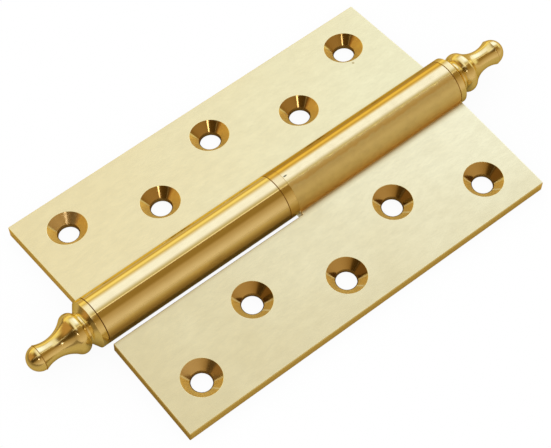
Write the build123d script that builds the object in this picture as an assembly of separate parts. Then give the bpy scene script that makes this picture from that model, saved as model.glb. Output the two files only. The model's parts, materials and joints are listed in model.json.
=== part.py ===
from build123d import *
from math import asin, atan2, degrees, hypot, sqrt
import os

# Brass lift-off butt hinge, lying open on its back. Millimetres, +Z up.
# The pin axis runs along Y, straight above the origin. +Y is the upper end of the hung hinge.
# The frame leaf reaches to -X and carries the pin, the door leaf reaches to +X and lifts off upwards.
# The barrel and the outer edges of both leaves touch the ground, z = 0.

# Leaves
leaf_length = 120.0
leaf_width = 40.5             # pin axis to the outer edge
leaf_thickness = 3.5
face_drop = 0.5               # pin axis down to the countersunk face
root_fillet = 0.5             # where the countersunk face runs into the knuckle
edge_break = 0.25             # chamfer round the countersunk faces, the washer's foot and the finials' bases

# Barrel
barrel_diameter = 14.0
lower_knuckle_length = 59.5
washer_thickness = 3.0
relief_clearance = 1.2        # a leaf's cut-back edge to the other leaf's knuckle

# Screw holes, in a zigzag over two columns
hole_count = 5
hole_pitch = 24.0             # along the leaf, from one hole to the next
outer_column = 29.7           # pin axis to the column of the end holes
inner_column = 20.1           # pin axis to the other column
screw_hole_diameter = 5.8
countersink_diameter = 11.0
countersink_angle = 90.0

# Pin, held in the lower knuckle and free in the washer and the upper knuckle
pin_diameter = 8.0
pin_end_room = 5.0            # from each end of the pin to the finial's spigot
pin_chamfer = 1.0             # on both ends
pin_seat_clearance = 0.01     # radial, in the lower knuckle
pin_running_clearance = 0.06  # radial, in the upper knuckle
washer_clearance = 0.1        # radial, washer on the pin

# Finials, measured outwards from the end of the barrel
spigot_length = 8.0           # into the knuckle's bore
spigot_clearance = 0.01       # radial
spigot_chamfer = 0.6
ring_length = 2.0             # plain ring of the barrel's diameter
shoulder_length = 1.15        # cone from the ring down to the groove
groove_diameter = 9.6
bulb_diameter = 11.8
bulb_station = 6.1            # barrel end to the widest section of the bulb
bulb_round = 2.4              # radius of the bulb's outline
neck_diameter = 5.9
neck_station = 13.6           # barrel end to the thinnest section of the neck
lip_station = 17.15           # barrel end to the sharp lip behind the dome
dome_diameter = 7.2

# Worked out from the sizes above
barrel_radius = barrel_diameter / 2
barrel_end = leaf_length / 2
washer_bottom = lower_knuckle_length - barrel_end
washer_top = washer_bottom + washer_thickness
upper_knuckle_length = barrel_end - washer_top
relief_edge = barrel_radius + relief_clearance
pin_radius = pin_diameter / 2
pin_end = barrel_end - spigot_length - pin_end_room
lower_bore = pin_radius + pin_seat_clearance
upper_bore = pin_radius + pin_running_clearance
# Each leaf leans down by the angle that brings the outer edge of its back to the ground
back_drop = face_drop + leaf_thickness
lean = degrees(asin(barrel_radius / hypot(leaf_width, back_drop)) - atan2(back_drop, leaf_width))
pin_axis = Pos(0, 0, barrel_radius)
half_turn = Rot(0, 0, 180)
same = 1e-6                   # two lengths that differ by less are taken as equal


def bar(radius, start, end):
    """Round bar on the pin axis, from one station along it to another."""
    upright = Cylinder(radius, end - start, align=(Align.CENTER, Align.CENTER, Align.MIN))
    return Pos(0, start, 0) * Rot(-90, 0, 0) * upright


def leaf_plate(knuckle_length):
    """Flat of a leaf, face up, cut back beside the other leaf's knuckle, with its face edges broken."""
    blank = Box(leaf_width, leaf_length, leaf_thickness, align=(Align.MIN, Align.CENTER, Align.MAX))
    relief_length = leaf_length - knuckle_length
    relief = Box(relief_edge, relief_length, leaf_thickness, align=(Align.MIN, Align.MIN, Align.MAX))
    plate = blank - Pos(0, -leaf_length / 2, 0) * relief
    face = plate.faces().sort_by(Axis.Z)[-1]
    rims = face.edges().filter_by(lambda rim: rim.center().X > relief_edge - same)
    return Pos(0, 0, -face_drop) * chamfer(rims, edge_break)


def screw_holes():
    """Countersunk screw holes of one leaf, in a zigzag that starts and ends in the outer column."""
    stations = [(i - (hole_count - 1) / 2) * hole_pitch for i in range(hole_count)]
    columns = [inner_column if i % 2 else outer_column for i in range(hole_count)]
    hole = CounterSinkHole(screw_hole_diameter / 2, countersink_diameter / 2, leaf_thickness, countersink_angle)
    return [Pos(x, y, -face_drop) * hole for x, y in zip(columns, stations)]


def leaf(knuckle_length, bore):
    """One leaf, face up on the pin axis, with its knuckle at the +Y end."""
    knuckle_start = barrel_end - knuckle_length
    body = leaf_plate(knuckle_length) + bar(barrel_radius, knuckle_start, barrel_end)
    face_lines = body.edges().filter_by(Axis.Y).filter_by(lambda line: abs(line.center().Z + face_drop) < same)
    body = fillet(face_lines.sort_by(Axis.X)[0], root_fillet)
    body -= bar(bore, knuckle_start, barrel_end)
    for hole in screw_holes():
        body -= hole
    return body


def bearing_washer():
    """Ring between the two knuckles, round the pin and flush with the barrel."""
    ring = bar(barrel_radius, washer_bottom, washer_top)
    foot = ring.edges().filter_by(GeomType.CIRCLE).sort_by(Axis.Y)[0]
    return chamfer(foot, edge_break) - bar(pin_radius + washer_clearance, washer_bottom, washer_top)


def hinge_pin():
    """Plain round pin with a chamfer on both ends."""
    pin = bar(pin_radius, -pin_end, pin_end)
    return chamfer(pin.edges().filter_by(GeomType.CIRCLE), pin_chamfer)


def finial_outline(bore):
    """Half outline of a finial: X from the turning axis, Y outwards from the end of the barrel."""
    spigot = bore - spigot_clearance
    groove = groove_diameter / 2
    bulb = bulb_diameter / 2
    neck = neck_diameter / 2
    dome = dome_diameter / 2
    tip = lip_station + dome
    # The cove is one arc through the neck, from the bulb, which it touches smoothly, to the lip
    bulb_centre = Vector(bulb - bulb_round, bulb_station)
    reach = neck_station - bulb_station
    fall = neck - bulb_centre.X
    cove_round = (reach**2 + fall**2 - bulb_round**2) / (2 * (bulb_round - fall))
    cove_centre = Vector(neck + cove_round, neck_station)
    touch = bulb_centre + (cove_centre - bulb_centre) * (bulb_round / (bulb_round + cove_round))
    lip = cove_centre.X - sqrt(cove_round**2 - (lip_station - neck_station) ** 2)
    bulb_start = bulb_station - sqrt(bulb_round**2 - (groove - bulb_centre.X) ** 2)
    with BuildLine() as outline:
        Polyline(
            (0, tip),
            (0, -spigot_length),
            (spigot - spigot_chamfer, -spigot_length),
            (spigot, spigot_chamfer - spigot_length),
            (spigot, 0),
            (barrel_radius - edge_break, 0),
            (barrel_radius, edge_break),
            (barrel_radius, ring_length),
            (groove, ring_length + shoulder_length),
            (groove, bulb_start),
        )
        ThreePointArc((groove, bulb_start), (bulb, bulb_station), touch)
        ThreePointArc(touch, (neck, neck_station), (lip, lip_station))
        Line((lip, lip_station), (dome, lip_station))
        CenterArc((0, lip_station), dome, 0, 90)
    return outline.line


def finial(bore):
    """Turned end ornament on the +Y end of the barrel, with a spigot in the bore."""
    return Pos(0, barrel_end, 0) * revolve(make_face(finial_outline(bore)), Axis.Y)


pieces = {
    "frame_leaf": Rot(0, -lean, 0) * half_turn * leaf(lower_knuckle_length, lower_bore),
    "door_leaf": Rot(0, lean, 0) * leaf(upper_knuckle_length, upper_bore),
    "hinge_pin": hinge_pin(),
    "bearing_washer": bearing_washer(),
    "lower_finial": half_turn * finial(lower_bore),
    "upper_finial": finial(upper_bore),
}

os.makedirs("parts", exist_ok=True)
for name, piece in pieces.items():
    export_step(pin_axis * piece, f"parts/{name}.step")
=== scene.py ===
"""Finished surfaces of a brass lift-off hinge that lies open on its back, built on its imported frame.

Metres, +Z up. The pin axis runs along Y, and +Y is the upper end of the hung hinge.
The frame leaf reaches to -X and carries the pin, the door leaf reaches to +X.
"""

import json
from math import asin, atan2, cos, hypot, pi, radians, sin, sqrt, tan

import bmesh
import bpy
from bpy.props import FloatProperty, FloatVectorProperty, IntProperty, PointerProperty
from bpy.types import Operator, Panel, PropertyGroup
from mathutils import Matrix, Vector

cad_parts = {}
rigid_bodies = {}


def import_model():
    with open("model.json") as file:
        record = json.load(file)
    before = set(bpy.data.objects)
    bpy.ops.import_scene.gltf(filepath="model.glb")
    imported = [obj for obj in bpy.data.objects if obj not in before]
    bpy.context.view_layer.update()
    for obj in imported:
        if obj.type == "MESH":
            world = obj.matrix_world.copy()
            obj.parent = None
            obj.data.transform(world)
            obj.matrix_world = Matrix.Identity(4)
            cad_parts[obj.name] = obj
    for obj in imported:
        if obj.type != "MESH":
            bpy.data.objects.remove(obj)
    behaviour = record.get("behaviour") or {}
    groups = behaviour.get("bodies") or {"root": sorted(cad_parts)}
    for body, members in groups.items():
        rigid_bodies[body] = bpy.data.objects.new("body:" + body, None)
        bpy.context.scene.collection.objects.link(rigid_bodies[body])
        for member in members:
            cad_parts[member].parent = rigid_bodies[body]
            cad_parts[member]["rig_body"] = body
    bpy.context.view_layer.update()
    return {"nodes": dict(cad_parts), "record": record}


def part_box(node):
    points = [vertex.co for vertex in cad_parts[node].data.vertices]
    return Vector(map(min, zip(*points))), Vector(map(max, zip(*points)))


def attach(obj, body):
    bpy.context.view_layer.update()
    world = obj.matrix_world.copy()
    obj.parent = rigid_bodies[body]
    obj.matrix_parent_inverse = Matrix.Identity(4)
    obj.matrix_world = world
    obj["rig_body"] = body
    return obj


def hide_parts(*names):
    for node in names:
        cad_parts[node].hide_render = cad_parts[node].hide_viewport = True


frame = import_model()

bl_info = {
    "name": "Lift-off hinge",
    "version": (1, 0, 0),
    "blender": (4, 5, 0),
    "location": "View3D > Sidebar > Hinge",
    "description": "Builds the finished pieces of a brass lift-off hinge and its studio",
    "category": "Object",
}

MM = 0.001
WELD = 1e-6                     # points closer than this are one point
NEAR = 1e-5                     # a point this close to a surface counts as on it
CREASE = radians(32)            # a sharper bend between two faces is a crease
SHARP = radians(40)             # an edge with a sharper bend is bevelled
FACING = 0.95                   # a face whose normal has this share along an axis faces that way
SQUARE = 0.97                   # the same for the end faces of a knuckle
SLANTED = 0.2                   # a face with more than this share leans that way
PHOTO_WIDTH = 551               # pixels
CLIP_START = 10 * MM            # nearest distance that the camera sees
SHADOW_SAMPLES = 12
IN_DEGREES = 180 / pi           # degrees in a radian
CLOCK_TOP = 143.5               # degrees from +X towards +Y to the 12 of a countersink's clock
HOUR = 30                       # degrees of that clock
# Straight steps in a round outline, or round a turned piece
ROOT_STEPS = 8
KNUCKLE_STEPS = 176
BORE_STEPS = 96
BULB_STEPS = 40
DOME_STEPS = 32
TURNED_STEPS = 192
HOLE_STEPS = 128

# Places and sizes that the frame gives
_, LEAF_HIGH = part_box("frame_leaf")
WASHER_LOW, WASHER_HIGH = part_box("bearing_washer")
PIN_LOW, PIN_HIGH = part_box("hinge_pin")
MOUNTS = {mount["name"]: mount for mount in frame["record"]["mounts"]}
PIN_RADIUS = (PIN_HIGH.x - PIN_LOW.x) / 2
BARREL_RADIUS = (WASHER_HIGH.x - WASHER_LOW.x) / 2
AXIS_HEIGHT = (WASHER_HIGH.z + WASHER_LOW.z) / 2
BARREL_END = LEAF_HIGH.y
LEAF_AXIS = Vector(MOUNTS["door_end_screws"]["axis"])
LEAN = atan2(LEAF_AXIS.x, LEAF_AXIS.z)
# From the leaf's own frame, with the pin axis at its origin, to the hinge's frame
AXIS_PLACE = Matrix.Translation((0, 0, AXIS_HEIGHT))
DOOR_PLACE = AXIS_PLACE @ Matrix.Rotation(LEAN, 4, "Y")
FRAME_PLACE = AXIS_PLACE @ Matrix.Rotation(-LEAN, 4, "Y") @ Matrix.Rotation(pi, 4, "Z")
# Small marks: the place and the reach of each, in millimetres
FRAME_DENT = ((-23.3, 46.4, 4.8), (0.5, 0.5, 0.5))
DOOR_DENT = ((39.6, 12.0, 4.0), (0.5, 0.4, 0.5))
KNUCKLE_NICK = ((-0.08, 3.3, 14.0), (0.3, 0.85, 0.6))
UNDERSIDE_NICK = ((0, 0, 0), (1, 1, 1))


def column_of(mount):
    """Distance of a row of screw holes from the pin axis, measured in the leaf."""
    return (DOOR_PLACE.inverted() @ Vector(MOUNTS[mount]["pos_m"])).x


def length(name, description, default):
    """Property for a length in metres."""
    return FloatProperty(
        name=name, description=description, default=default, min=0, precision=5, unit="LENGTH"
    )


def angle(name, description, degrees):
    """Property for an angle, given in degrees."""
    return FloatProperty(name=name, description=description, default=radians(degrees), unit="ROTATION")


def colour(name, description, default):
    """Property for a linear colour."""
    return FloatVectorProperty(
        name=name, description=description, default=default, size=3, min=0, soft_max=1, subtype="COLOR"
    )


class LeafSizes(PropertyGroup):
    """Sizes of the two leaves and their screw holes."""

    width: length("Leaf width", "Pin axis to the outer edge", 40.5 * MM)
    thickness: length("Leaf thickness", "Thickness of the flat of a leaf", 3.5 * MM)
    face_drop: length("Face drop", "Pin axis down to the countersunk face", 0.5 * MM)
    root_fillet: length("Root fillet", "Where the countersunk face runs into the knuckle", 0.5 * MM)
    relief: length("Relief clearance", "Cut-back edge to the other leaf's knuckle", 1.2 * MM)
    rim_break: length("Rim break", "Bevel round the flats of a leaf", 0.22 * MM)
    knuckle_break: length("Knuckle break", "Bevel round the ends of a knuckle", 0.06 * MM)
    bore: length("Bore", "Radius of a knuckle's bore", PIN_RADIUS + 0.03 * MM)
    hole_count: IntProperty(name="Holes", description="Screw holes in a leaf", default=5, min=1)
    hole_pitch: length("Hole pitch", "Along the leaf, from one hole to the next",
                       MOUNTS["door_inner_screws"]["dims"]["pcd_mm"] * MM / 2)
    outer_column: length("Outer column", "Pin axis to the end holes' column", column_of("door_end_screws"))
    inner_column: length("Inner column", "Pin axis to the other column", column_of("door_inner_screws"))
    hole: length("Hole radius", "Radius of a screw hole", MOUNTS["door_end_screws"]["dims"]["hole_r_mm"] * MM)
    countersink: length("Countersink radius", "Radius of a countersink at the face", 5.5 * MM)
    countersink_angle: angle("Countersink angle", "Full angle of a countersink's cone", 90)
    # The burr ring is painted dark, as painted shade at the foot of each countersink
    burr: length("Burr", "Dull ring where a countersink runs into its hole", 0.25 * MM)
    countersink_break: length("Countersink break", "Bevel round a countersink's mouth", 0.12 * MM)


class BarrelSizes(PropertyGroup):
    """Sizes of the pin and of the washer on it."""

    pin_chamfer: length("Pin chamfer", "On both ends of the pin", 1.0 * MM)
    pin_softness: length("Pin softness", "How far back the pin's edges are rounded", 0.1 * MM)
    washer_clearance: length("Washer clearance", "Between the pin and the washer's bore", 0.1 * MM)
    washer_foot: length("Washer foot", "Bevel round the washer's lower end", 0.22 * MM)
    washer_top: length("Washer top", "Bevel round the washer's upper end", 0.05 * MM)


class FinialSizes(PropertyGroup):
    """Sizes of a finial, with stations measured outwards from the end of the barrel."""

    spigot: length("Spigot length", "Into the knuckle's bore", 8 * MM)
    spigot_clearance: length("Spigot clearance", "Between the spigot and the bore", 0.02 * MM)
    spigot_break: length("Spigot bevel", "On the inner end of the spigot", 0.6 * MM)
    ring: length("Ring length", "Plain ring of the barrel's diameter", 2 * MM)
    ring_break: length("Ring bevel", "Where the ring meets the barrel", 0.22 * MM)
    shoulder: length("Shoulder length", "Cone from the ring down to the groove", 1.55 * MM)
    groove: length("Groove radius", "Radius of the groove behind the bulb", 4.8 * MM)
    bulb: length("Bulb radius", "Largest radius of the bulb", 5.9 * MM)
    bulb_station: length("Bulb station", "Widest section of the bulb", 6.1 * MM)
    bulb_round: length("Bulb round", "Radius of the bulb's outline", 2.4 * MM)
    neck: length("Neck radius", "Smallest radius of the neck", 2.95 * MM)
    neck_station: length("Neck station", "Thinnest section of the neck", 13.6 * MM)
    lip_station: length("Lip station", "Sharp lip behind the dome", 17.15 * MM)
    # The lip seam is a line of painted shade round the dome's edge
    lip_shade_line: length("Lip seam", "Dull line round the dome's edge", 0.2 * MM)
    dome: length("Dome radius", "Radius of the dome", 3.6 * MM)
    softness: length("Edge softness", "How far back a turned edge is rounded", 0.12 * MM)


class BrassColours(PropertyGroup):
    """Colours of the metal."""

    # The lower and upper colour of each leaf are the two ends of its painted light gradient
    frame_low: colour("Frame leaf, lower end", "Satin brass of the frame leaf", (0.847, 0.758, 0.444))
    frame_high: colour("Frame leaf, upper end", "Satin brass of the frame leaf", (0.864, 0.84, 0.542))
    door_low: colour("Door leaf, lower end", "Satin brass of the door leaf", (0.743, 0.662, 0.386))
    door_high: colour("Door leaf, upper end", "Satin brass of the door leaf", (0.93, 0.907, 0.625))
    # The next two are painted shade: the dark wall of the screw holes and the dark brass in the seams
    bore: colour("Screw hole", "Dull wall of the screw holes", (0.33, 0.23, 0.09))
    seam: colour("Seam", "Dull brass in the narrow seams", (0.48, 0.30, 0.09))
    knuckle: colour("Knuckle", "Polished brass of the barrel", (0.93, 0.84, 0.53))
    washer: colour("Washer", "Polished brass of the washer", (0.88, 0.76, 0.44))
    finial: colour("Finial", "Polished brass of the turned ends", (0.90, 0.79, 0.44))
    edge: colour("Sawn edge", "Brass of the leaves' narrow sides", (0.95, 0.74, 0.34))
    # The paler brass of the broken edges is a painted highlight
    rim_highlight: colour("Rim", "Brass of the broken edges round the flats", (1.0, 0.93, 0.56))
    # The countersinks' brown, darker than the other brass, is painted shade in the recesses
    countersink: colour("Countersink", "Cut brass of the countersinks", (0.58, 0.41, 0.165))
    # The countersinks' lit side is painted light
    lit_side_gold: colour("Burnished", "Brighter side of the countersinks", (1.0, 0.71, 0.19))
    worn: colour("Worn countersink", "Paler countersinks near the lower end", (0.95, 0.80, 0.50))
    # These bright lines are painted glints, reflections painted into the colour
    glint_colour: colour("Scored", "Bright lines that the cutter left in the countersinks", (1.0, 0.88, 0.44))
    pin: colour("Pin", "Ground steel of the pin", (0.62, 0.62, 0.60))


class StudioSettings(PropertyGroup):
    """Camera, floor and lights round the hinge. Bands of light are placed by the slope that mirrors them."""

    azimuth: angle("Camera azimuth", "Round the hinge, from -Y towards +X", 53.54)
    elevation: angle("Camera elevation", "Above the floor", 56.31)
    roll: angle("Camera roll", "Turn of the picture", -2.692)
    distance: length("Camera distance", "Camera to the point that it looks at", 513.5 * MM)
    aim: FloatVectorProperty(name="Aim", description="Point that the camera looks at",
                             default=(5.43 * MM, -4.63 * MM, 5 * MM), subtype="XYZ", unit="LENGTH")
    focal: FloatProperty(name="Focal length", description="In pixels of the picture", default=1928.0)
    floor: length("Floor size", "Side of the square floor", 8.0)
    shadow_reach: length("Shadow reach", "How far from the hinge its soft shadow starts", 45 * MM)
    contact_reach: length("Contact reach", "How far from the hinge its mirrored shadow starts", 9 * MM)
    near_floor: length("Near floor", "Where the floor near the hinge ends", 60 * MM)
    far_floor: length("Far floor", "Where the floor farther off starts", 160 * MM)
    side_floor: length("Side floor", "Where the floor beside the hinge ends, before the lower end", 80 * MM)
    front_floor: length("Front floor", "Where the floor before the lower end starts", 120 * MM)
    floor_lit: colour("Floor", "Floor as the camera sees it", (1.0, 1.0, 1.0))
    floor_shade: colour("Shadow", "Floor under the hinge as the camera sees it", (0.95, 0.95, 0.95))
    mirrored_floor: colour("Mirrored floor", "Mirrored floor near the hinge", (0.52, 0.39, 0.15))
    mirrored_far: colour("Mirrored far floor", "Mirrored floor farther off", (0.68, 0.50, 0.27))
    mirrored_front: colour("Mirrored front", "Mirrored floor before the lower end", (0.24, 0.16, 0.055))
    dark: colour("Dark", "Unlit side of the room, towards the lower end", (0.137, 0.075, 0.015))
    room: colour("Room", "Dim warm surroundings", (0.304, 0.175, 0.038))
    panel: colour("Main panel", "Large soft panel over the frame leaf", (1.05, 1.05, 1.12))
    panel_end: colour("Panel's end", "The panel's end towards the upper end", (1.2075, 1.281, 1.568))
    spill: colour("Spill", "Warm edge of the panel, towards the door leaf", (0.58, 0.47, 0.23))
    left_wall: colour("Left wall", "Warm wall beyond the frame leaf", (0.72, 0.53, 0.17))
    left_foot: colour("Left wall's foot", "Browner foot of the left wall", (0.60, 0.37, 0.062))
    glow: colour("Low light", "Narrow warm light behind the frame leaf", (1.05, 0.82, 0.27))
    wall: colour("Right wall", "Upper part of the wall beyond the door leaf", (0.47, 0.305, 0.118))
    wall_foot: colour("Right wall's foot", "Paler foot of the right wall", (0.70, 0.525, 0.30))
    far_glow: colour("Far low light", "Low light towards the lower end", (0.95, 0.82, 0.38))
    far_fill: colour("Far fill", "Soft light beyond the upper end", (0.9, 0.8, 0.44))
    overhead: colour("Overhead", "Soft light straight above the hinge", (0.95, 0.88, 0.70))
    brown: colour("Brown corner", "Corner of the room before the lower end", (0.50, 0.27, 0.075))
    spark: colour("Spark", "Small lamp that draws a bright line in the countersinks", (5.0, 4.4, 3.8))
    spark_way: FloatVectorProperty(name="Spark's way", description="Direction of the small lamp",
                                   default=(0.58, -0.40, 0.70), subtype="XYZ")
    slit: colour("Slit", "Narrow gap between the panel and the dark flag", (1.2, 1.0, 0.64))


class Wire:
    """Output socket in a node tree. Arithmetic on wires adds Math nodes to the tree."""

    def __init__(self, tree, socket):
        self.tree = tree
        self.socket = socket

    def math(self, operation, *values):
        """Math node on the given wires and numbers."""
        return add(self.tree, "ShaderNodeMath", {"operation": operation}, dict(enumerate(values)))

    def __add__(self, other):
        return self.math("ADD", self, other)

    def __sub__(self, other):
        return self.math("SUBTRACT", self, other)

    def __mul__(self, other):
        return self.math("MULTIPLY", self, other)

    def __truediv__(self, other):
        return self.math("DIVIDE", self, other)

    def __mod__(self, other):
        return self.math("MODULO", self, other)

    def __radd__(self, other):
        return self.math("ADD", other, self)

    def __rsub__(self, other):
        return self.math("SUBTRACT", other, self)

    def __rmul__(self, other):
        return self.math("MULTIPLY", other, self)

    def __abs__(self):
        return self.math("ABSOLUTE", self)

    def __getitem__(self, output):
        return Wire(self.tree, self.socket.node.outputs[output])


def add(tree, kind, settings=None, sockets=None, output=0):
    """Adds a node of a kind, with its settings first and then the values or links of its sockets."""
    node = tree.nodes.new(kind)
    for name, value in (settings or {}).items():
        setattr(node, name, value)
    for key, value in (sockets or {}).items():
        if isinstance(value, Wire):
            tree.links.new(value.socket, node.inputs[key])
        else:
            node.inputs[key].default_value = value
    return Wire(tree, node.outputs[output]) if node.outputs else node


def mix_colours(tree, factor, first, second):
    """Colour between two colours."""
    sockets = {0: factor, 6: as_colour(first), 7: as_colour(second)}
    return add(tree, "ShaderNodeMix", {"data_type": "RGBA"}, sockets, output=2)


def as_colour(value):
    """Wire as it is, or three numbers with full opacity."""
    return value if isinstance(value, Wire) else (*value, 1.0)


def ramp(tree, value, low, high, low_result=0.0, high_result=1.0):
    """Smooth step of a value, from one result to another."""
    sockets = {0: value, 1: low, 2: high, 3: low_result, 4: high_result}
    return add(tree, "ShaderNodeMapRange", {"interpolation_type": "SMOOTHSTEP"}, sockets)


def axes(tree, vector):
    """Parts of a vector, by the letters of the axes."""
    return add(tree, "ShaderNodeSeparateXYZ", None, {0: vector})


def heading(first, second):
    """Angle in degrees from the second of two axes towards the first, of a point with those two parts."""
    return first.math("ARCTAN2", first, second) * IN_DEGREES


def vector_maths(tree, operation, *vectors, output=0):
    """Vector Math node on the given vectors."""
    return add(tree, "ShaderNodeVectorMath", {"operation": operation}, dict(enumerate(vectors)), output)


def dyed(base, *factors):
    """Colour scaled by one factor, or by one for each of its parts, with none of them above 1."""
    each = factors * 3 if len(factors) == 1 else factors
    return [min(1.0, part * factor) for part, factor in zip(base, each)]


# Meshes


def arc(centre, radius, start, end, steps):
    """Points of an arc from one angle to another."""
    turns = [start + (end - start) * i / steps for i in range(steps + 1)]
    return [Vector((centre[0] + radius * cos(turn), centre[1] + radius * sin(turn))) for turn in turns]


def softened(corners, reach, steps=4):
    """Polyline with its inner corners rounded, from a given distance before each to as far behind."""
    corners = [Vector(corner) for corner in corners]
    points = [corners[0]]
    for before, corner, after in zip(corners, corners[1:], corners[2:]):
        step = min(reach, (before - corner).length / 2, (after - corner).length / 2)
        first = corner + (before - corner).normalized() * step
        last = corner + (after - corner).normalized() * step
        for i in range(steps + 1):
            share = i / steps
            points.append(first.lerp(corner, share).lerp(corner.lerp(last, share), share))
    return points + [corners[-1]]


def geometry_tree(name, inputs):
    """New Geometry Nodes tree with a geometry input, the named inputs and a geometry output."""
    tree = bpy.data.node_groups.new(name, "GeometryNodeTree")
    tree.interface.new_socket("Geometry", in_out="INPUT", socket_type="NodeSocketGeometry")
    for label, kind in inputs.items():
        tree.interface.new_socket(label, in_out="INPUT", socket_type="NodeSocket" + kind)
    tree.interface.new_socket("Geometry", in_out="OUTPUT", socket_type="NodeSocketGeometry")
    return tree, add(tree, "NodeGroupInput")


def close_tree(tree, geometry, material):
    """Ends a tree with plain geometry that has a material."""
    plain = add(tree, "GeometryNodeRealizeInstances", None, {"Geometry": geometry})
    dressed = add(tree, "GeometryNodeSetMaterial", None, {"Geometry": plain, "Material": material})
    add(tree, "NodeGroupOutput", None, {0: dressed})
    return tree


def turning_tree():
    """Tree that turns an outline about the Y axis. The outline's points have radius as X and station as Y."""
    tree, given = geometry_tree("Turning", {"Segments": "Int", "Height": "Float", "Material": "Material"})
    outline = given["Geometry"]
    count = add(tree, "GeometryNodeAttributeDomainSize", None, {"Geometry": outline})
    index = add(tree, "GeometryNodeInputIndex")
    grid = add(tree, "GeometryNodeMeshGrid", None, {"Vertices X": given["Segments"] + 1, "Vertices Y": count})
    place = index % count
    turn = (index / count).math("FLOOR", index / count) * (2 * pi) / given["Segments"]
    point = add(
        tree,
        "GeometryNodeSampleIndex",
        {"data_type": "FLOAT_VECTOR"},
        {"Geometry": outline, "Value": add(tree, "GeometryNodeInputPosition"), "Index": place},
    )
    parts = axes(tree, point)
    across = parts["X"] * turn.math("COSINE", turn)
    up = parts["X"] * turn.math("SINE", turn) + given["Height"]
    spot = add(tree, "ShaderNodeCombineXYZ", None, {"X": across, "Y": parts["Y"], "Z": up})
    turned = add(tree, "GeometryNodeSetPosition", None, {"Geometry": grid, "Position": spot})
    welded = add(tree, "GeometryNodeMergeByDistance", None, {"Geometry": turned, "Distance": WELD})
    return close_tree(tree, welded, given["Material"])


def screw_hole_tree():
    """Tree that cuts a zigzag of holes with copies of one cutter."""
    inputs = {
        "Cutter": "Object",
        "Count": "Int",
        "Pitch": "Float",
        "Outer column": "Float",
        "Inner column": "Float",
        "Face": "Float",
        "Material": "Material",
    }
    tree, given = geometry_tree("Screw holes", inputs)
    index = add(tree, "GeometryNodeInputIndex")
    x = given["Outer column"] - (given["Outer column"] - given["Inner column"]) * (index % 2)
    y = given["Pitch"] * (index - (given["Count"] - 1) * 0.5)
    spot = add(tree, "ShaderNodeCombineXYZ", None, {"X": x, "Y": y, "Z": given["Face"]})
    points = add(tree, "GeometryNodePoints", None, {"Count": given["Count"], "Position": spot})
    cutter = add(tree, "GeometryNodeObjectInfo", None, {"Object": given["Cutter"]})
    sockets = {"Points": points, "Instance": cutter["Geometry"]}
    copies = add(tree, "GeometryNodeInstanceOnPoints", None, sockets)
    cutters = add(tree, "GeometryNodeRealizeInstances", None, {"Geometry": copies})
    cut = add(
        tree,
        "GeometryNodeMeshBoolean",
        {"operation": "DIFFERENCE", "solver": "EXACT"},
        {"Mesh 1": given["Geometry"], "Mesh 2": cutters},
    )
    return close_tree(tree, cut, given["Material"])


def plain_mesh(piece):
    """Replaces a piece's mesh by what its modifiers make of it, and removes them."""
    depsgraph = bpy.context.evaluated_depsgraph_get()
    made = bpy.data.meshes.new_from_object(piece.evaluated_get(depsgraph))
    piece.modifiers.clear()
    old = piece.data
    piece.data = made
    bpy.data.meshes.remove(old)
    made.name = piece.name


def apply_tree(piece, tree, values):
    """Runs a Geometry Nodes tree on a piece, after its other modifiers, with values for the named inputs."""
    modifier = piece.modifiers.new(tree.name, "NODES")
    modifier.node_group = tree
    for item in tree.interface.items_tree:
        if item.in_out == "INPUT" and item.name in values:
            modifier[item.identifier] = values[item.name]
    plain_mesh(piece)


def finish_mesh(piece):
    """Welds a piece's mesh, turns its faces outwards and shades it smooth, with the flats kept flat."""
    mesh = piece.data
    bm = bmesh.new()
    bm.from_mesh(mesh)
    bmesh.ops.remove_doubles(bm, verts=bm.verts, dist=WELD)
    bmesh.ops.dissolve_degenerate(bm, edges=bm.edges, dist=WELD)
    bmesh.ops.recalc_face_normals(bm, faces=bm.faces)
    bm.to_mesh(mesh)
    bm.free()
    mesh.shade_smooth()
    mesh.set_sharp_from_angle(angle=CREASE)
    normals = piece.modifiers.new("Normals", "WEIGHTED_NORMAL")
    normals.keep_sharp = True
    plain_mesh(piece)


def new_piece(name, mesh):
    """Object for a mesh, linked to the scene."""
    piece = bpy.data.objects.new(name, mesh)
    bpy.context.scene.collection.objects.link(piece)
    return piece


def turned_piece(name, outline, material, height=AXIS_HEIGHT, segments=TURNED_STEPS):
    """Piece turned about the pin axis from an outline of (radius, station) points."""
    mesh = bpy.data.meshes.new(name)
    mesh.from_pydata([(p[0], p[1], 0) for p in outline], [(i, i + 1) for i in range(len(outline) - 1)], [])
    piece = new_piece(name, mesh)
    values = {"Segments": segments, "Height": height, "Material": material}
    apply_tree(piece, bpy.data.node_groups.get("Turning") or turning_tree(), values)
    finish_mesh(piece)
    return piece


def paint_seam(piece, low, high, material):
    """Gives the narrow bevel between two stations of a turned piece a material of its own, here the seams'
    painted shade.
    """
    if material.name not in piece.data.materials:
        piece.data.materials.append(material)
    for polygon in piece.data.polygons:
        if low < polygon.center.y < high and abs(polygon.normal.y) < FACING:
            polygon.material_index = piece.data.materials.find(material.name)


def seat(piece, node):
    """Lets a piece stand for a frame node, on the node's body."""
    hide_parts(node)
    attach(piece, frame["nodes"][node]["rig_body"])


# Leaves


def leaf_section(sizes):
    """Outline of a leaf's cross-section through its knuckle: X outwards, Y up from the pin axis."""
    face = -sizes.face_drop
    back = face - sizes.thickness
    relief = BARREL_RADIUS + sizes.relief
    fillet = sizes.root_fillet
    height = face + fillet
    centre = (sqrt((BARREL_RADIUS + fillet) ** 2 - height**2), height)
    lean_in = atan2(centre[1], centre[0])
    root = arc(centre, fillet, -pi / 2, lean_in - pi, ROOT_STEPS)
    barrel = arc((0, 0), BARREL_RADIUS, lean_in, 2 * pi + asin(back / BARREL_RADIUS), KNUCKLE_STEPS)
    outer = [Vector((sizes.width, face)), Vector((relief, face))]
    inner = [Vector((relief, back)), Vector((sizes.width, back))]
    return outer + root + barrel[1:] + inner


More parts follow.
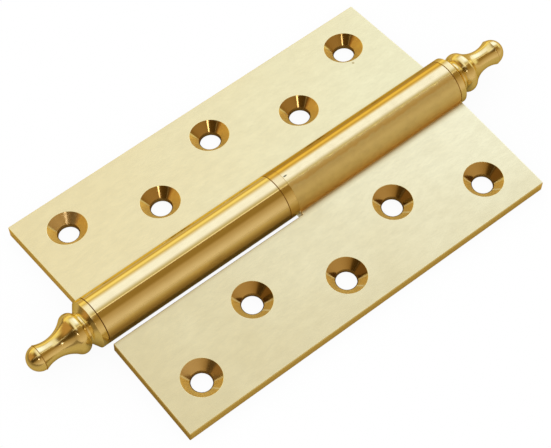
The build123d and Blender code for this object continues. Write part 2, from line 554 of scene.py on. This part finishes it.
def leaf_blank(sizes, knuckle_length):
    """Leaf without screw holes, face up on the pin axis, with its knuckle at the +Y end."""
    start = BARREL_END - knuckle_length
    section = leaf_section(sizes)
    bore = arc((0, 0), sizes.bore, 0, 2 * pi, BORE_STEPS)[:-1]
    bm = bmesh.new()

    def ring(points, station):
        return [bm.verts.new((p.x, station, p.y)) for p in points]

    def walls(first, second, closed=True):
        pairs = list(zip(first, first[1:] + first[:1], second[1:] + second[:1], second))
        return [bm.faces.new(quad) for quad in (pairs if closed else pairs[:-1])]

    def cap(*loops):
        edges = []
        for loop in loops:
            for a, b in zip(loop, loop[1:] + loop[:1]):
                edges.append(bm.edges.get((a, b)) or bm.edges.new((a, b)))
        bmesh.ops.triangle_fill(bm, use_beauty=True, edges=edges)

    middle, end = ring(section, start), ring(section, BARREL_END)
    bore_middle, bore_end = ring(bore, start), ring(bore, BARREL_END)
    walls(middle, end)
    walls(bore_middle, bore_end)
    plate = [middle[0], middle[1], middle[-2], middle[-1]]
    foot = ring([section[0], section[1], section[-2], section[-1]], -BARREL_END)
    walls(foot, plate)
    bm.faces.new(foot)
    cap(middle[1:-1], bore_middle)
    cap(end, bore_end)
    bmesh.ops.recalc_face_normals(bm, faces=bm.faces)
    # A line across the leaf at each hole leaves no face with a whole hole in it
    for _, station in hole_places(sizes):
        everything = [*bm.verts, *bm.edges, *bm.faces]
        bmesh.ops.bisect_plane(bm, geom=everything, plane_co=(0, station, 0), plane_no=(0, 1, 0))

    weight = bm.edges.layers.float.new("bevel_weight_edge")
    for edge in bm.edges:
        if not edge.is_manifold or edge.calc_face_angle_signed() < SHARP:
            continue
        spot = (edge.verts[0].co + edge.verts[1].co) / 2
        on_plate = spot.x > BARREL_RADIUS
        edge[weight] = 1.0 if on_plate else sizes.knuckle_break / sizes.rim_break
    mesh = bpy.data.meshes.new("leaf_blank")
    bm.to_mesh(mesh)
    bm.free()
    return mesh


def hole_places(sizes):
    """Column and station of each screw hole in a leaf."""
    middle = (sizes.hole_count - 1) / 2
    columns = (sizes.outer_column, sizes.inner_column)
    return [(columns[i % 2], (i - middle) * sizes.hole_pitch) for i in range(sizes.hole_count)]


def hole_cutter(sizes):
    """Cutter of a countersunk hole, with the middle of its mouth at the origin."""
    slope = tan(sizes.countersink_angle / 2)
    over = sizes.countersink
    mouth = sizes.countersink + sizes.countersink_break

    def on_cone(radius):
        return (radius, -sizes.countersink_break / 2 - (sizes.countersink - radius) / slope)

    outline = [
        (0, over),
        (mouth + over, over),
        (mouth, 0),
        on_cone(sizes.countersink),
        on_cone(sizes.hole + sizes.burr),
        on_cone(sizes.hole),
        (sizes.hole, -sizes.thickness - over),
        (0, -sizes.thickness - over),
    ]
    cutter = turned_piece("hole_cutter", outline, None, height=0, segments=HOLE_STEPS)
    cutter.data.transform(Matrix.Rotation(pi / 2, 4, "X"))
    return cutter


def paint_leaf(mesh, sizes, finishes):
    """Gives each zone of a leaf, still in its own frame, its finish."""
    mesh.materials.clear()
    for material in finishes.values():
        mesh.materials.append(material)
    order = list(finishes)
    face = -sizes.face_drop
    back = face - sizes.thickness
    centres = hole_places(sizes)
    for polygon in mesh.polygons:
        x, y, z = polygon.center
        normal = polygon.normal
        flat = abs(normal.z) > FACING and (abs(z - face) < NEAR or abs(z - back) < NEAR)
        to_hole = min(hypot(x - c[0], y - c[1]) for c in centres)
        radius = hypot(x, z)
        if flat:
            zone = "face"
        # Painted shade: the hole walls and the burr ring round each hole
        elif to_hole < sizes.hole + sizes.burr and z < face - NEAR:
            zone = "bore"
        # The broken edge round each countersink's mouth takes the paler brass of the painted highlight
        elif to_hole < sizes.countersink + sizes.countersink_break:
            zone = "rim_highlight" if z > face - sizes.countersink_break / 2 else "countersink"
        elif x < BARREL_RADIUS + sizes.root_fillet and radius > sizes.bore + NEAR and abs(normal.y) < SLANTED:
            zone = "knuckle"
        # Painted shade: dark seams at the knuckle's ends, except the door leaf's foot seam, which keeps its
        # knuckle's brass
        elif 0.9 * BARREL_RADIUS < radius < BARREL_RADIUS + NEAR and abs(normal.y) < SQUARE:
            zone = "end_seam_shade" if y > BARREL_END - sizes.rim_break else "foot_seam"
        # Painted light: the end wall in the gap is pale
        elif normal.y < -SQUARE and y > -BARREL_END / 2:
            zone = "wall"
        # Painted highlight: paler brass on the broken edges round the flats
        elif x > BARREL_RADIUS and z > face - sizes.rim_break - NEAR and normal.z > SLANTED:
            zone = "rim_highlight"
        else:
            zone = "edge"
        polygon.material_index = order.index(zone)


def mark_holes(mesh, sizes, place):
    """Notes at each point of a leaf, still in its own frame, the way to it from the nearest hole."""
    centres = [Vector((x, y, 0)) for x, y in hole_places(sizes)]
    turn = place.to_3x3()
    ways = mesh.attributes.new("from_hole", "FLOAT_VECTOR", "POINT")
    for vertex, way in zip(mesh.vertices, ways.data):
        flat = Vector((vertex.co.x, vertex.co.y, 0))
        nearest = min(centres, key=lambda centre: (flat - centre).length)
        way.vector = turn @ (flat - nearest).normalized()


# Finishes


def brass(name, base, roughness):
    """New metal material: the tree, its shader and the object coordinates in millimetres."""
    material = bpy.data.materials.new(name)
    material.use_nodes = True
    tree = material.node_tree
    tree.nodes.clear()
    sockets = {
        "Base Color": as_colour(base),
        "Metallic": 1.0,
        "Roughness": roughness,
        "Specular Tint": as_colour(dyed(base, 1.05)),
    }
    shader = add(tree, "ShaderNodeBsdfPrincipled", None, sockets)
    add(tree, "ShaderNodeOutputMaterial", None, {"Surface": shader})
    where = add(tree, "ShaderNodeTexCoord")["Object"]
    spot = add(tree, "ShaderNodeVectorMath", {"operation": "SCALE"}, {0: where, "Scale": 1 / MM})
    return material, tree, shader.socket.node, spot


def plug(tree, wire, shader, socket):
    """Feeds a wire to a shader's socket."""
    tree.links.new(wire.socket, shader.inputs[socket])


def engrave(tree, height, shader, strength=1.0):
    """Gives a shader a fine relief, with its height in metres."""
    relief = add(tree, "ShaderNodeBump", None, {"Strength": strength, "Distance": 1.0, "Height": height})
    plug(tree, relief, shader, "Normal")


def stretched(tree, spot, across, along):
    """Coordinates scaled across and along the pin axis."""
    return vector_maths(tree, "MULTIPLY", spot, (across, along, across))


def noise(tree, spot, scale, detail=2.0):
    """Soft noise from 0 to 1."""
    return add(tree, "ShaderNodeTexNoise", None, {"Vector": spot, "Scale": scale, "Detail": detail})


def blemish(tree, spot, place, reach):
    """Mask of a small mark at a place, in millimetres, with its reach along each axis."""
    away = vector_maths(tree, "SUBTRACT", spot, place)
    scaled = vector_maths(tree, "DIVIDE", away, reach)
    return ramp(tree, vector_maths(tree, "LENGTH", scaled, output="Value"), 1.0, 0.4)


def satin_face(name, low, high, dent):
    """Pale satin flat, finely brushed, with painted light that makes it paler towards its upper end and most
    so near the knuckle, painted shade along its root beside the knuckle, faint clouds and a dent.
    """
    material, tree, shader, spot = brass(name, low, 0.3)
    parts = axes(tree, spot)
    clouds = noise(tree, spot, 0.06, 4.0)
    grain = noise(tree, stretched(tree, spot, 2.2, 0.7), 1.0, 3.0)
    # Painted light: the tone runs from the lower to the upper colour along the leaf, more steeply near the
    # knuckle
    painted_rise = parts["Y"] / (2 * BARREL_END / MM) + 0.5
    nearness = 1 - abs(parts["X"]) / 40
    height = painted_rise * (0.85 + nearness * 0.3) + (clouds - 0.5) * 0.5
    tone = mix_colours(tree, ramp(tree, height, -0.1, 1.25), low, high)
    blotches = noise(tree, stretched(tree, spot, 0.45, 0.2), 1.0, 3.0)
    wear = (blotches - 0.5) * 0.7 + (grain - 0.5) * 0.6 + 0.5
    tone = mix_colours(tree, ramp(tree, wear, 0.2, 0.8, 0.2, 0.0), tone, dyed(low, 0.6))
    # Painted shade: a dark brown band along the root beside the knuckle; the dent below takes the same dark
    # tone
    root = ramp(tree, abs(parts["X"]), 9.5, 7.0, 0.0, 0.75)
    shade = dyed(low, 0.5, 0.4, 0.25)
    tone = mix_colours(tree, root, tone, shade)
    plug(tree, mix_colours(tree, blemish(tree, spot, *dent) * 0.7, tone, shade), shader, "Base Color")
    plug(tree, 0.18 + grain * 0.1, shader, "Roughness")
    engrave(tree, grain * 1.4e-6, shader, 0.6)
    return material


def barrel_brass(name, base, roughness, waviness, left_shade, right_shade, nick,
                 dulling=0.0, fray=0.0, reflection_tint=0.0):
    """Polished barrel with painted shade in brown on its sides, painted reflections and a painted highlight
    in warm and pale tones, a slight waviness, a nick and, if it is frayed, a dull ragged side.

    Its zones lie by the degrees round the pin axis, from the top towards the door leaf.
    """
    material, tree, shader, spot = brass(name, base, roughness)
    parts = axes(tree, spot)
    turn = heading(parts["X"], parts["Z"] - AXIS_HEIGHT / MM)
    brown = dyed(base, 0.45, 0.36, 0.22)
    reflected_orange = dyed(base, 0.88, 0.72, 0.40)
    # The painted shades and reflections end before the underside, which shows when the leaf swings
    upper_left = ramp(tree, turn, -95, -58)
    right = ramp(tree, turn, 175, 125)
    # Painted light and shade, each row giving start and full turn, share, mask and colour: a warm band and an
    # amber band as painted reflections, a paler band as a painted highlight, and brown as painted shade on
    # the left, on the lower right and at the root fillet
    zones = (
        (-8, -17, reflection_tint, upper_left, reflected_orange),
        (-22, -36, left_shade, upper_left, brown),
        (12, 24, reflection_tint, right, dyed(base, 0.98, 0.98, 0.86)),
        (64, 82, right_shade, right, brown),
        (60, 96, reflection_tint, right, dyed(base, 1.0, 0.85, 0.50)),
        (92, 97, fray * 0.018, right, brown),
    )
    tone = base
    for start, full, share, within, shade in zones:
        tone = mix_colours(tree, ramp(tree, turn, start, full, 0.0, share) * within, tone, shade)
    waves = noise(tree, stretched(tree, spot, 0.5, 0.16), 1.0, 2.0)
    grain = noise(tree, stretched(tree, spot, 1.2, 4.0), 1.0, 2.0)
    frayed = noise(tree, stretched(tree, spot, 0.5, 0.45), 1.0, 4.0)
    ragged = turn + (frayed - 0.5) * fray
    # Warm blotches along the ragged edge of the bright band, partly painted reflection
    smudges_and_sheen = ramp(tree, abs(ragged - 25), 9, 2, 0.0, fray * 0.07)
    tone = mix_colours(tree, smudges_and_sheen, tone, reflected_orange)
    mottled = (waves - 0.5) * 0.25 + (frayed - 0.5) * (0.1 + fray * 0.02) + 0.03
    tone = mix_colours(tree, mottled, tone, brown)
    tone = mix_colours(tree, blemish(tree, spot, *nick), tone, dyed(base, 0.15))
    plug(tree, tone, shader, "Base Color")
    side = ramp(tree, ragged, 14, 22, 0.0, dulling)
    low_side = ramp(tree, turn, 46, 64, 0.0, 0.22) + ramp(tree, turn, 88, 94, 0.0, fray * 0.025)
    plug(tree, roughness + (side + low_side) * right + (grain - 0.5) * 0.06, shader, "Roughness")
    engrave(tree, waves * waviness + grain * (waviness * 0.04), shader)
    return material


def sawn_edge(colours):
    """Sawn narrow side, darker and coarser than the flats, with painted shade that makes it darkest on the
    door leaf's lower end.
    """
    material, tree, shader, spot = brass("sawn_brass_edge", colours.edge, 0.35)
    strokes = noise(tree, spot, 1.5, 3.0)
    parts = axes(tree, spot)
    from_end = parts["Y"] + BARREL_END / MM
    # Painted shade: darker on the door leaf's lower end edge
    front = ramp(tree, from_end, 0.6, 0.2) * ramp(tree, parts["X"], 2, 6)
    tone = mix_colours(tree, strokes, colours.edge, dyed(colours.edge, 1.18))
    plug(tree, mix_colours(tree, front * 0.7, tone, dyed(colours.edge, 0.5)), shader, "Base Color")
    plug(tree, 0.28 + strokes * 0.14, shader, "Roughness")
    return material


def cut_countersink(colours):
    """Countersink with painted light: painted shade in brown on one side, a painted lit gold side on the
    other, and painted glints as bright lines.

    Its zones lie by the hours of a clock on the face of the leaf. The hole nearest the lower end is worn.
    """
    material, tree, shader, spot = brass("cut_brass_countersink", colours.countersink, 0.2)
    way = add(tree, "ShaderNodeAttribute", {"attribute_name": "from_hole"})["Vector"]
    parts = axes(tree, way)
    hour = (CLOCK_TOP - heading(parts["Y"], parts["X"])) / HOUR
    place = axes(tree, spot)
    door = ramp(tree, place["X"], -1, 1)
    worn = ramp(tree, place["Y"], -40, -42) * (0.6 - door * 0.3)

    def line(at, half_width):
        return ramp(tree, abs(hour - at), half_width, half_width * 0.4)

    # Painted light: a paler, less metallic gold side of each countersink
    lit_side = ramp(tree, hour - door * 1.6, 1.1, 1.5) * ramp(tree, hour, 9.5, 9.2)
    worn = worn * (1 - lit_side * 0.8)
    # Painted shadow on the door leaf's countersinks between one and five o'clock
    shadow = ramp(tree, hour, 1.0, 1.8) * ramp(tree, hour, 6, 5) * door * 0.75
    tone = mix_colours(tree, shadow, colours.countersink, dyed(colours.countersink, 0.3))
    tone = mix_colours(tree, lit_side, mix_colours(tree, worn, tone, colours.worn), colours.lit_side_gold)
    # Painted glints: bright lines at fixed hours
    glints = line(9.4 - door * 0.15, 0.16) + (line(2.95, 0.16) + line(4.2, 0.18)) * door
    plug(tree, mix_colours(tree, glints, tone, colours.glint_colour), shader, "Base Color")
    plug(tree, 0.96 - lit_side * 0.7 - worn * 0.25 - glints * 0.2, shader, "Metallic")
    marks = noise(tree, spot, 2.5, 2.0)
    plug(tree, 0.08 + marks * 0.06 + lit_side * 0.15 + worn * 0.2, shader, "Roughness")
    engrave(tree, marks * 2e-6, shader)
    return material


def turned_brass(colours):
    """Turned and polished brass, with fine rings round the axis."""
    material, tree, shader, spot = brass("turned_brass", colours.finial, 0.1)
    rings = noise(tree, stretched(tree, spot, 0.3, 5.0), 1.0, 2.0)
    waves = noise(tree, spot, 0.5, 2.0)
    plug(tree, 0.11 + rings * 0.08, shader, "Roughness")
    engrave(tree, rings * 0.5e-6 + waves * 6e-6, shader)
    return material


def dull_brass(colours):
    """Dull dark brass of the narrow seams, darkened as painted shade."""
    return bpy.data.materials.get("dull_brass") or brass("dull_brass", colours.seam, 0.5)[0]


def drilled_brass(colours):
    """Wall of the screw holes, darkened as painted shade."""
    return brass("drilled_brass", colours.bore, 0.4)[0]


def pale_painted_brass(colours):
    """Matt pale end face of a knuckle, painted pale as painted light where it stands in shade."""
    material, _, shader, _ = brass("pale_brass_end", dyed(colours.door_high, 1.1), 0.4)
    shader.inputs["Metallic"].default_value = 0.0
    return material


def ground_steel(colours):
    """Ground steel pin with fine rings."""
    material, tree, shader, spot = brass("ground_steel_pin", colours.pin, 0.22)
    rings = noise(tree, stretched(tree, spot, 0.2, 6.0), 1.0, 3.0)
    plug(tree, 0.16 + rings * 0.14, shader, "Roughness")
    return material


# Operators


class HINGE_OT_leaves(Operator):
    """Builds the frame leaf and the door leaf with their knuckles and screw holes"""

    bl_idname = "hinge.leaves"
    bl_label = "Leaves"

    def execute(self, context):
        sizes = context.scene.hinge_leaf
        colours = context.scene.hinge_brass
        frame_face = satin_face("satin_brass_frame", colours.frame_low, colours.frame_high, FRAME_DENT)
        door_face = satin_face("satin_brass_door", colours.door_low, colours.door_high, DOOR_DENT)
        # Seams and hole walls are painted shade; the gap's end wall is painted pale light
        shared = {
            "edge": sawn_edge(colours),
            "countersink": cut_countersink(colours),
            "bore": drilled_brass(colours),
            "end_seam_shade": dull_brass(colours),
            "wall": pale_painted_brass(colours),
        }
        # Painted highlight on the broken edges
        rim_highlight = brass("rim_brass", colours.rim_highlight, 0.3)[0]
        # Both knuckles carry painted shade and painted reflections round their sides
        polished = barrel_brass("polished_brass_knuckle", colours.knuckle, roughness=0.08, waviness=3e-6,
                                left_shade=0.0, right_shade=0.70, nick=UNDERSIDE_NICK)
        satin = barrel_brass("satin_brass_knuckle", colours.knuckle, roughness=0.09, waviness=18e-6,
                             left_shade=0.5, right_shade=0.05, nick=KNUCKLE_NICK,
                             dulling=0.41, fray=12.0, reflection_tint=1.0)
        tree = screw_hole_tree()
        cutter = hole_cutter(sizes)
        values = {
            "Cutter": cutter,
            "Count": sizes.hole_count,
            "Pitch": sizes.hole_pitch,
            "Outer column": sizes.outer_column,
            "Inner column": sizes.inner_column,
            "Face": -sizes.face_drop,
            "Material": shared["edge"],
        }
        # The frame leaf's foot seam is painted shade; the door leaf's keeps its knuckle's brass
        leaves = (
            ("frame_leaf", BARREL_END + WASHER_LOW.y, frame_face, polished, dull_brass(colours), FRAME_PLACE),
            ("door_leaf", BARREL_END - WASHER_HIGH.y, door_face, satin, satin, DOOR_PLACE),
        )
        for node, knuckle_length, face, knuckle, foot_seam, place in leaves:
            piece = new_piece(node + "_finished", leaf_blank(sizes, knuckle_length))
            bevel = piece.modifiers.new("Rims", "BEVEL")
            bevel.limit_method = "WEIGHT"
            bevel.width = sizes.rim_break
            bevel.segments = 3
            apply_tree(piece, tree, values)
            finish_mesh(piece)
            own = {"face": face, "rim_highlight": rim_highlight, "knuckle": knuckle, "foot_seam": foot_seam}
            finishes = {**own, **shared}
            paint_leaf(piece.data, sizes, finishes)
            mark_holes(piece.data, sizes, place)
            piece.data.transform(place)
            seat(piece, node)
        bpy.data.objects.remove(cutter)
        return {"FINISHED"}


class HINGE_OT_pin(Operator):
    """Builds the pin"""

    bl_idname = "hinge.pin"
    bl_label = "Pin"

    def execute(self, context):
        sizes = context.scene.hinge_barrel
        chamfer = sizes.pin_chamfer
        corners = [
            (0, PIN_LOW.y),
            (PIN_RADIUS - chamfer, PIN_LOW.y),
            (PIN_RADIUS, PIN_LOW.y + chamfer),
            (PIN_RADIUS, PIN_HIGH.y - chamfer),
            (PIN_RADIUS - chamfer, PIN_HIGH.y),
            (0, PIN_HIGH.y),
        ]
        outline = softened(corners, sizes.pin_softness)
        pin = turned_piece("hinge_pin_finished", outline, ground_steel(context.scene.hinge_brass))
        seat(pin, "hinge_pin")
        return {"FINISHED"}


class HINGE_OT_washer(Operator):
    """Builds the ring between the two knuckles"""

    bl_idname = "hinge.washer"
    bl_label = "Washer"

    def execute(self, context):
        sizes = context.scene.hinge_barrel
        bore = PIN_RADIUS + sizes.washer_clearance
        foot = sizes.washer_foot
        top = sizes.washer_top
        corners = [
            (bore, WASHER_LOW.y),
            (BARREL_RADIUS - foot, WASHER_LOW.y),
            (BARREL_RADIUS, WASHER_LOW.y + foot),
            (BARREL_RADIUS, WASHER_HIGH.y - top),
            (BARREL_RADIUS - top, WASHER_HIGH.y),
            (bore, WASHER_HIGH.y),
            (bore, WASHER_LOW.y),
        ]
        colours = context.scene.hinge_brass
        # Painted shade and painted reflections round the washer's sides, and painted shade on its foot bevel
        material = barrel_brass("washer_brass", colours.washer, roughness=0.14, waviness=4e-6,
                                left_shade=0.5, right_shade=0.6, nick=UNDERSIDE_NICK, reflection_tint=0.8)
        washer = turned_piece("bearing_washer_finished", corners, material)
        paint_seam(washer, WASHER_LOW.y, WASHER_LOW.y + foot, dull_brass(colours))
        seat(washer, "bearing_washer")
        return {"FINISHED"}


class HINGE_OT_finials(Operator):
    """Builds the turned ornament at each end of the barrel"""

    bl_idname = "hinge.finials"
    bl_label = "Finials"

    def execute(self, context):
        colours = context.scene.hinge_brass
        sizes = context.scene.hinge_finial
        material = turned_brass(colours)
        outline = finial_outline(sizes, context.scene.hinge_leaf.bore)
        for node, end in (("lower_finial", -1), ("upper_finial", 1)):
            points = [(p.x, end * (BARREL_END + p.y)) for p in outline]
            finial = turned_piece(node + "_finished", points, material)
            # The ring's bevel and the lip seam are painted shade
            seam = sorted((end * BARREL_END, end * (BARREL_END + sizes.ring_break)))
            paint_seam(finial, *seam, dull_brass(colours))
            lip = end * (BARREL_END + sizes.lip_station)
            paint_seam(finial, *sorted((lip, lip + end * sizes.lip_shade_line)), dull_brass(colours))
            seat(finial, node)
        return {"FINISHED"}


def finial_outline(sizes, bore):
    """Half outline of a finial, from its spigot to its tip: X from the axis, Y out from the barrel's end."""
    spigot = bore - sizes.spigot_clearance
    bulb_centre = Vector((sizes.bulb - sizes.bulb_round, sizes.bulb_station))
    reach = sizes.neck_station - sizes.bulb_station
    fall = sizes.neck - bulb_centre.x
    cove_round = (reach**2 + fall**2 - sizes.bulb_round**2) / (2 * (sizes.bulb_round - fall))
    cove_centre = Vector((sizes.neck + cove_round, sizes.neck_station))
    to_cove = cove_centre - bulb_centre
    past_neck = asin((sizes.lip_station - sizes.neck_station) / cove_round)
    touch = atan2(to_cove.y, to_cove.x)
    bulb_start = -asin(sqrt(1 - ((sizes.groove - bulb_centre.x) / sizes.bulb_round) ** 2))
    bulb = arc(bulb_centre, sizes.bulb_round, bulb_start, touch, BULB_STEPS)
    cove = arc(cove_centre, cove_round, touch + pi, pi - past_neck, BULB_STEPS)
    dome = arc((0, sizes.lip_station), sizes.dome, 0, pi / 2, DOME_STEPS)
    dome[-1].x = 0
    corners = [
        (0, -sizes.spigot),
        (spigot - sizes.spigot_break, -sizes.spigot),
        (spigot, sizes.spigot_break - sizes.spigot),
        (spigot, 0),
        (BARREL_RADIUS - sizes.ring_break, 0),
        (BARREL_RADIUS, sizes.ring_break),
        (BARREL_RADIUS, sizes.ring),
        (sizes.groove, sizes.ring + sizes.shoulder),
        bulb[0],
    ]
    return softened(corners, sizes.softness)[:-1] + bulb + cove[1:] + dome


class HINGE_OT_stage(Operator):
    """Builds the floor, the studio light and the camera"""

    bl_idname = "hinge.stage"
    bl_label = "Stage"

    def execute(self, context):
        studio = context.scene.hinge_studio
        build_floor(studio)
        build_light(studio)
        build_camera(studio)
        context.scene.view_settings.view_transform = "Standard"
        return {"FINISHED"}


def build_floor(studio):
    """Plain white floor that keeps a soft shadow, and that the metal mirrors as a dim warm one."""
    half = studio.floor / 2
    mesh = bpy.data.meshes.new("floor")
    corners = [(-half, -half, 0), (half, -half, 0), (half, half, 0), (-half, half, 0)]
    mesh.from_pydata(corners, [], [(0, 1, 2, 3)])
    material = bpy.data.materials.new("floor_white")
    material.use_nodes = True
    tree = material.node_tree
    tree.nodes.clear()
    path = add(tree, "ShaderNodeLightPath")
    samples = {"samples": SHADOW_SAMPLES}
    wide = add(tree, "ShaderNodeAmbientOcclusion", samples, {"Distance": studio.shadow_reach})["AO"]
    close = add(tree, "ShaderNodeAmbientOcclusion", samples, {"Distance": studio.contact_reach})["AO"]
    lit = mix_colours(tree, wide, studio.floor_shade, studio.floor_lit)
    where = add(tree, "ShaderNodeTexCoord")["Object"]
    reach = vector_maths(tree, "LENGTH", where, output="Value")
    far = ramp(tree, reach, studio.near_floor, studio.far_floor)
    front = ramp(tree, axes(tree, where)["Y"], -studio.side_floor, -studio.front_floor)
    tone = mix_colours(tree, far, studio.mirrored_floor, studio.mirrored_far)
    tone = mix_colours(tree, front, tone, studio.mirrored_front)
    dim = mix_colours(tree, close, dyed(studio.mirrored_floor, 0.12), tone)
    mirrored = path["Is Glossy Ray"].math("MAXIMUM", path["Is Glossy Ray"], path["Is Transmission Ray"])
    seen = mix_colours(tree, mirrored, lit, dim)
    surface = add(tree, "ShaderNodeEmission", None, {"Color": seen, "Strength": 1.0})
    add(tree, "ShaderNodeOutputMaterial", None, {"Surface": surface})
    mesh.materials.append(material)
    new_piece("floor", mesh)


def band(tree, slope, centre, half_width, softness):
    """Mask of a band of light, in degrees of slope."""
    away = abs(slope - centre)
    return ramp(tree, away, half_width + softness, half_width - softness)


def disc(tree, way, direction, radius, softness):
    """Mask of a round lamp in a direction, with its angular radius in degrees."""
    towards = vector_maths(tree, "DOT_PRODUCT", way, Vector(direction).normalized(), output="Value")
    away = towards.math("ARCCOSINE", towards) * IN_DEGREES
    return ramp(tree, away, radius + softness, radius - softness)


def view_direction(studio):
    """Direction from the hinge to the camera."""
    flat = cos(studio.elevation)
    return Vector((sin(studio.azimuth) * flat, -cos(studio.azimuth) * flat, sin(studio.elevation)))


def build_light(studio):
    """Soft bands of light in a dim warm room, each placed by the brass that mirrors it to the camera.

    Slopes are that brass's tilt in degrees, from level towards the door leaf. Leanings are how far its
    normal points along the pin axis, from -1 at the lower end to 1 at the upper end.
    """
    world = bpy.data.worlds.new("studio")
    world.use_nodes = True
    tree = world.node_tree
    tree.nodes.clear()
    way = add(tree, "ShaderNodeTexCoord")["Generated"]
    halfway = vector_maths(tree, "ADD", way, view_direction(studio))
    parts = axes(tree, vector_maths(tree, "NORMALIZE", halfway))
    slope = heading(parts["X"], parts["Z"])

    def tilted(low, high):
        return ramp(tree, slope, low, high)

    def leaning(low, high):
        return ramp(tree, parts["Y"], low, high)

    lower = leaning(-0.06, -0.28)
    lowest = leaning(-0.35, -0.7)
    room = mix_colours(tree, lower, studio.room, studio.dark)
    wall = mix_colours(tree, tilted(34, 56), studio.wall, studio.wall_foot)
    wall = mix_colours(tree, lowest * 0.25, wall, studio.dark)
    left = mix_colours(tree, lower, studio.spill, dyed(studio.dark, 1.5))
    left = mix_colours(tree, tilted(5, -11), left, studio.left_wall)
    left = mix_colours(tree, tilted(-18, -31), left, studio.left_foot)
    panel = mix_colours(tree, leaning(0.04, 0.25), studio.panel, studio.panel_end)
    panel_left = tilted(-17.4, -5.6)
    layers = (
        # Walls beyond the two leaves
        (tilted(30, 37), wall),
        (tilted(17.9, 16.9), left),
        # Lights and dark corners that the finials mirror
        (band(tree, slope, -15, 6, 7) * lower, studio.far_glow),
        (tilted(18, 9) * leaning(-0.4, -0.62), studio.brown),
        (band(tree, slope, -22.7, 4, 2.5) * leaning(-0.74, -0.5), studio.glow),
        (band(tree, slope, 24, 9, 7) * lowest, dyed(studio.dark, 0.5)),
        # Soft lights that other views mirror
        (leaning(0.36, 0.5) * tilted(37, 27) * tilted(-12, 2), studio.far_fill),
        (tilted(26, 18) * panel_left * leaning(-0.36, -0.24) * leaning(-0.06, -0.13), studio.overhead),
        # Main panel, the slit beside it and the spark
        (tilted(16.0, 5.4) * panel_left * leaning(-0.22, -0.06) * leaning(0.8, 0.35), panel),
        (band(tree, slope, 18.1, 0.75, 0.3) * leaning(-0.75, -0.4), studio.slit),
        (disc(tree, way, studio.spark_way, 3, 0.8), studio.spark),
    )
    light = room
    for mask, tone in layers:
        light = mix_colours(tree, mask, light, tone)
    glow = add(tree, "ShaderNodeBackground", None, {"Color": light, "Strength": 1.0})
    add(tree, "ShaderNodeOutputWorld", None, {"Surface": glow})
    bpy.context.scene.world = world


def build_camera(studio):
    """Camera at the picture's viewing angle."""
    data = bpy.data.cameras.new("camera")
    data.lens = studio.focal * data.sensor_width / PHOTO_WIDTH
    data.clip_start = CLIP_START
    camera = bpy.data.objects.new("camera", data)
    bpy.context.scene.collection.objects.link(camera)
    back = view_direction(studio)
    turned = (-back).to_track_quat("-Z", "Y").to_matrix().to_4x4() @ Matrix.Rotation(studio.roll, 4, "Z")
    camera.matrix_world = Matrix.Translation(Vector(studio.aim) + back * studio.distance) @ turned
    bpy.context.scene.camera = camera


class HINGE_PT_pieces(Panel):
    """Lists the pieces of the hinge and its stage"""

    bl_idname = "HINGE_PT_pieces"
    bl_label = "Lift-off hinge"
    bl_space_type = "VIEW_3D"
    bl_region_type = "UI"
    bl_category = "Hinge"

    def draw(self, context):
        for operator in OPERATORS:
            self.layout.operator(operator.bl_idname)


GROUPS = {
    "hinge_leaf": LeafSizes,
    "hinge_barrel": BarrelSizes,
    "hinge_finial": FinialSizes,
    "hinge_brass": BrassColours,
    "hinge_studio": StudioSettings,
}
OPERATORS = (HINGE_OT_leaves, HINGE_OT_pin, HINGE_OT_washer, HINGE_OT_finials, HINGE_OT_stage)


def register():
    """Adds the settings, the operators and the panel to Blender."""
    for kind in (*GROUPS.values(), *OPERATORS, HINGE_PT_pieces):
        bpy.utils.register_class(kind)
    for name, kind in GROUPS.items():
        setattr(bpy.types.Scene, name, PointerProperty(type=kind))


def unregister():
    """Takes them out again."""
    for name in GROUPS:
        delattr(bpy.types.Scene, name)
    for kind in (HINGE_PT_pieces, *reversed(OPERATORS), *GROUPS.values()):
        bpy.utils.unregister_class(kind)


def main():
    """Builds the hinge and its stage."""
    register()
    bpy.ops.hinge.leaves()
    bpy.ops.hinge.pin()
    bpy.ops.hinge.washer()
    bpy.ops.hinge.finials()
    bpy.ops.hinge.stage()


if __name__ == "__main__":
    main()
